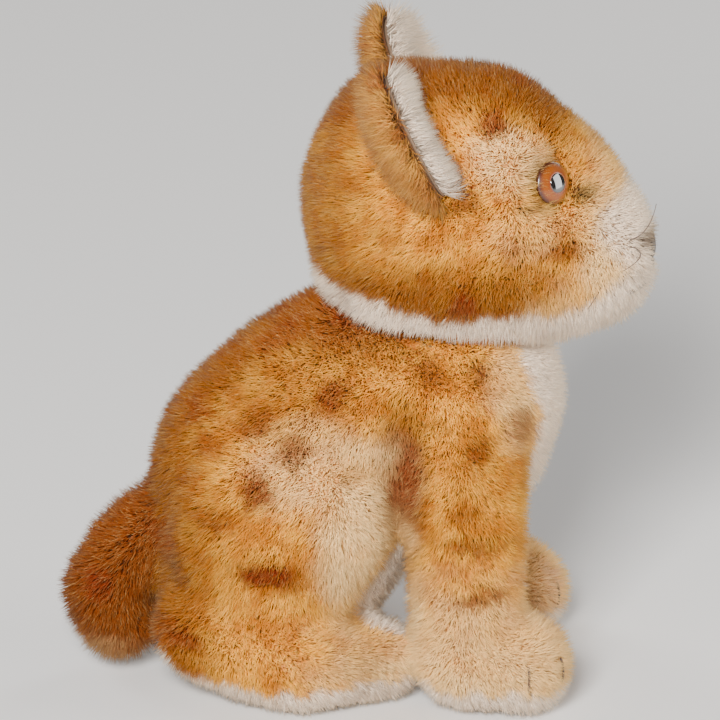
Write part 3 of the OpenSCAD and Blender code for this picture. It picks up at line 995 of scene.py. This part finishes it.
def add_ear(side, head_tree):
    """The back and the lining of one ear, each as cloth and pile."""
    place = ear_matrix(side)
    centre = np.array(place @ Vector((0, 0, 0)))
    forward = np.array(place.to_3x3() @ Vector((1, 0, 0)))
    tipward = np.array(place.to_3x3() @ Vector((0, 0, 1)))
    for part, ball_r, sign, kind, slot in (
            ("ear_back", EAR_CUP_R + EAR_LAYER_T, -1, "ear", "tan_mohair"),
            ("ear_lining", EAR_CUP_R - EAR_LAYER_T, 1, "white", "white_mohair")):
        name = f"{part}_{side}"
        sheet = ear_sheet(side, ball_r, head_tree)
        if (normals_of(sheet).mean(axis=0) @ forward) * sign < 0:
            sheet.flip_normals()
        cloth = ear_cloth(sheet)
        cloth_points = points_of(cloth) / MM
        nothing = np.zeros(len(cloth_points))
        masks = list(coat_masks(cloth_points, kind))
        from_middle = np.linalg.norm(cloth_points - centre, axis=1)
        # Painted shade: the cloth darkens towards the ear's rim, in the parting of back and lining.
        masks[4] = 0.85 * smoothstep(from_middle, EAR_R - 1.6, EAR_R - 0.6)
        paint(cloth, masks, nothing, nothing)
        piece = add_object(f"{name}_cloth", cloth, "head", MATERIALS["cloth"])
        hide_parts(name)

        triangles, _ = triangles_of(sheet)
        roots, up = scatter(points_of(sheet) / MM, normals_of(sheet), triangles, PER_MM2 * 1.1)
        outward = unit(roots - centre)
        rim = smoothstep(np.linalg.norm(roots - centre, axis=1), EAR_R - 3.5, EAR_R)
        fan = rim ** 2 * rng.uniform(0.2, 1.0, len(roots))
        up = unit(up * (1 - 0.55 * fan)[:, None] + outward * (1.1 * fan)[:, None])
        lay = unit(outward * 0.3 + tipward * 0.7)
        long = EAR_PILE_L[part] * (1 - 0.35 * fan)
        masks = list(coat_masks(roots, kind))
        # Painted shade on some fibres at the rim, in the parting of back and lining.
        masks[4] = 0.75 * rim ** 5 * (rng.random(len(roots)) < 0.4)
        grow(f"{name}_pile", roots, up, lay, long, masks, "head", 0.12, EAR_WILD[part])


# ---------------------------------------------------------------- eyes
def lathe(profile, segments=72):
    """A closed solid from [radius, height] points turned round Z, in metres."""
    bm = bmesh.new()
    rings = []
    for r, z in profile:
        if r == 0:
            rings.append([bm.verts.new((0, 0, z))])
        else:
            rings.append([bm.verts.new((r * math.cos(a), r * math.sin(a), z))
                          for a in (2 * math.pi * i / segments for i in range(segments))])
    closed = profile[0][0] > 0
    pairs = zip(rings, rings[1:] + rings[:1]) if closed else zip(rings, rings[1:])
    for low, high in pairs:
        for i in range(segments):
            j = (i + 1) % segments
            corners = [low[i % len(low)], low[j % len(low)], high[j % len(high)], high[i % len(high)]]
            bm.faces.new(list(dict.fromkeys(corners)))
    bmesh.ops.recalc_face_normals(bm, faces=bm.faces)
    mesh = bpy.data.meshes.new("lathe")
    bm.to_mesh(mesh)
    bm.free()
    mesh.shade_smooth()
    return mesh


def eye_matrix(side):
    """From an eye's own frame, facing +Z, to its place in the head. Metres."""
    turn = Matrix.Rotation(math.radians(-EYE_TURN), 4, "Z")
    lift = Matrix.Rotation(math.radians(90 - EYE_LIFT), 4, "Y")
    place = Matrix.Translation(Vector(EYE_AT) * MM) @ turn @ lift
    mirror = Matrix.Scale(-1, 4, (0, 1, 0))
    return place if side == "right" else mirror @ place @ mirror


def add_eye(side):
    """A domed glass eye: a ring with the iris, and the pupil that fills it."""
    ball_r = (EYE_R ** 2 + EYE_DOME_H ** 2) / (2 * EYE_DOME_H)
    top = EYE_RIM_T + EYE_DOME_H - ball_r

    def dome(r):
        return (r * MM, (top + math.sqrt(ball_r ** 2 - r ** 2)) * MM)

    steps = 12
    seat = EYE_SEAT * MM
    iris = [(PUPIL_R * MM, seat)]
    iris += [dome(PUPIL_R + (EYE_R - PUPIL_R) * i / steps) for i in range(steps + 1)]
    iris += [((EYE_R + 0.1) * MM, 0.45 * MM), (EYE_R * MM, 0.0), (PUPIL_R * MM, 0.0)]
    pupil = [(0, seat), (PUPIL_R * MM, seat)]
    pupil += [dome(PUPIL_R * (1 - i / steps)) for i in range(steps + 1)]
    for name, profile, slot, material in (
            ("eye_glass", iris, "amber_glass", MATERIALS["iris"]),
            ("eye_pupil", pupil, "black_glass", MATERIALS["pupil"])):
        piece = add_object(f"{name}_{side}_lens", lathe(profile), "head", material)
        piece.matrix_world = eye_matrix(side)
        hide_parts(f"{name}_{side}")


# ---------------------------------------------------------------- threads
def thread_mesh(name, runs, sides=8):
    """Round threads as closed tubes. A run is (points in millimetres, radius at each point)."""
    bm = bmesh.new()
    for points, radii in runs:
        points = np.asarray(points, dtype=float)
        rings = []
        ahead = unit(np.gradient(points, axis=0))
        side = unit(np.cross(ahead[0], [0.31, 0.52, 0.79]))
        for p, t, r in zip(points, ahead, radii):
            side = unit(side - (side @ t) * t)
            other = np.cross(t, side)
            rings.append([bm.verts.new((p + r * (side * math.cos(a) + other * math.sin(a))) * MM)
                          for a in (2 * math.pi * i / sides for i in range(sides))])
        for low, high in zip(rings, rings[1:]):
            for i in range(sides):
                j = (i + 1) % sides
                bm.faces.new((low[i], low[j], high[j], high[i]))
        bm.faces.new(rings[0][::-1])
        bm.faces.new(rings[-1])
    mesh = bpy.data.meshes.new(name)
    bm.to_mesh(mesh)
    bm.free()
    mesh.shade_smooth()
    return mesh


def curve_through(p, steps=14):
    """Points of a quadratic curve from p[0] to p[2], bent towards p[1]."""
    t = np.linspace(0, 1, steps)[:, None]
    p = np.array(p, dtype=float)
    return (1 - t) ** 2 * p[0] + 2 * t * (1 - t) * p[1] + t ** 2 * p[2]


def laid_on(tree, points, lift):
    """Moves points in millimetres to a height over a surface."""
    made = []
    for p in points:
        near, normal, _, _ = tree.find_nearest(Vector(p) * MM)
        made.append(np.array(near) / MM + np.array(normal) * lift)
    return np.array(made)


def stitch(tree, start, end, lift, radius, steps=9):
    """A stitch that dips into the cloth at both of its ends."""
    t = np.linspace(0, 1, steps)
    points = np.outer(1 - t, start) + np.outer(t, end)
    laid = laid_on(tree, points, lift)
    for _ in range(3):
        laid[1:-1] = (laid[:-2] + laid[1:-1] + laid[2:]) / 3
    dip = (1 - np.sin(np.pi * t) ** 0.35) * (lift + 0.8)
    inward = laid_on(tree, points, lift - 1.0) - laid
    return laid + inward * dip[:, None], np.full(steps, radius)


def add_thread_piece(name, node, runs, body, thread):
    """A group of threads that stands for one CAD node."""
    mesh = thread_mesh(name, runs)
    piece = add_object(name, mesh, body, MATERIALS[thread])
    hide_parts(node)


def add_face_stitches(head_tree):
    """The nose's satin stitches and the mouth's line."""
    nose = []
    for i in range(NOSE_STITCHES):
        y = (i - (NOSE_STITCHES - 1) / 2) * NOSE_PITCH
        drop = 5.4 - abs(y) * 0.8 + rng.uniform(-0.2, 0.2)
        start, end = (MUZZLE_X, y, NOSE_Z + 0.3), (MUZZLE_X, y * 0.82, NOSE_Z - drop)
        nose.append(stitch(head_tree, start, end, -0.1, 0.40))
    add_thread_piece("nose_satin_stitches", "nose_stitches", nose, "head", "black")

    top, fork = (MUZZLE_X, 0, MOUTH_Z), (MUZZLE_X, 0, MOUTH_Z - 4.0)
    mouth = [stitch(head_tree, top, (MUZZLE_X, 0, MOUTH_Z - 4.4), -0.2, 0.42)]
    for sign in (-1, 1):
        corner = (53.5, sign * 9, MOUTH_Z - 4.6)
        mouth.append(stitch(head_tree, fork, corner, -0.6, 0.42, 13))
    add_thread_piece("mouth_line", "mouth_stitches", mouth, "head", "black")


def add_whiskers(side, sign):
    first = {"right": [[52, -6, 94], [57, -15, 97], [58.5, -14, 104.5]],
             "left": [[52, -6, 94], [57, -15, 98], [51, -19, 98]]}
    others = [[[52, -7, 93.5], [59, -15, 95], [52, -17, 91.5]],
              [[49, -7, 89.5], [49, -14, 88], [45, -18.5, 84]]]
    runs = []
    for bend in [first[side], *others]:
        points = curve_through(bend) * [1, sign, 1]
        runs.append((points, np.linspace(0.17, 0.06, len(points))))
    add_thread_piece(f"whisker_threads_{side}", f"whiskers_{side}", runs, "head", "brown")


def add_claws(side, sign, body_tree):
    claws = []
    for turn in CLAW_TURNS:
        x = TOE_AT[0] + TOE_R * math.cos(math.radians(turn))
        y = TOE_AT[1] + TOE_R * math.sin(math.radians(turn))
        top, bottom = ((x, y, z) for z in CLAW_Z)
        points, radii = stitch(body_tree, top, bottom, -0.5, 0.26)
        claws.append((points * [1, sign, 1], radii))
    add_thread_piece(f"claw_threads_{side}", f"claw_stitches_{side}", claws, "body", "brown")


def add_closing_stitches(body_tree):
    """The ladder of hand stitches that closes the belly's seam."""
    ladder = []
    for i in range(LADDER_STITCHES):
        z = LADDER_Z + LADDER_PITCH * i
        slant = 0.5 if i % 2 == 0 else -0.5
        belly = body_tree.ray_cast(Vector((30, 0, z)) * MM, Vector((-1, 0, 0)))[0].x / MM
        start, end = (belly, -2.5, z - slant), (belly, 2.5, z + slant)
        ladder.append(stitch(body_tree, start, end, -1.2, 0.34))
    add_thread_piece("closing_ladder", "closing_stitches", ladder, "body", "linen")


# ---------------------------------------------------------------- making it all
add_camera()
add_stage()

MATERIALS = {
    "pile": pile_material(),
    "cloth": cloth_material(),
    "wool": wood_wool_material(),
    "hardboard": hardboard_material(),
    "steel": steel_material(),
    "iris": iris_material(),
    "pupil": pupil_material(),
    "black": thread_material("black_thread", (0.012, 0.009, 0.008, 1), (0.045, 0.035, 0.03, 1)),
    "brown": thread_material("brown_thread", (0.035, 0.016, 0.008, 1), (0.11, 0.055, 0.025, 1)),
    "linen": thread_material("linen_thread", (0.50, 0.40, 0.25, 1), (0.74, 0.64, 0.46, 1)),
}

PER_MM2 = PILE_PER_MM2
BODY_PANELS = ["side_panel_right", "side_panel_left", "under_gusset_right", "under_gusset_left",
               "tail_cover"]
HEAD_PANELS = ["head_side_right", "head_side_left", "forehead_gusset", "chin_gusset"]
body_surface = bvh_of(smooth_solid([*BODY_PANELS, "body_stuffing"], SKIN_VOXEL, GUIDE_ROUNDS))
head_surface = bvh_of(smooth_solid([*HEAD_PANELS, "head_stuffing"], SKIN_VOXEL, GUIDE_ROUNDS))
clothe(BODY_PANELS, ["body_stuffing", "tail_stuffing"], "body")
head_skin = bvh_of(clothe(HEAD_PANELS, ["head_stuffing"], "head"))
for part, body in (("body_stuffing", "body"), ("tail_stuffing", "body"), ("head_stuffing", "head")):
    stuff(part, body)
for side in ("right", "left"):
    add_ear(side, head_skin)
    add_eye(side)
add_face_stitches(head_surface)
for side, sign in (("right", 1), ("left", -1)):
    add_whiskers(side, sign)
    add_claws(side, sign, body_surface)
add_closing_stitches(body_surface)

CARRIED = {"body_disc": "hardboard", "head_disc": "hardboard", "body_washer": "steel",
           "head_washer": "steel", "cotter_pin": "steel", "eye_wire_right": "steel",
           "eye_wire_left": "steel", "body_gathering_thread": "linen",
           "head_gathering_thread": "linen"}
for name, material in CARRIED.items():
    NODES[name].data.materials.clear()
    NODES[name].data.materials.append(MATERIALS[material])
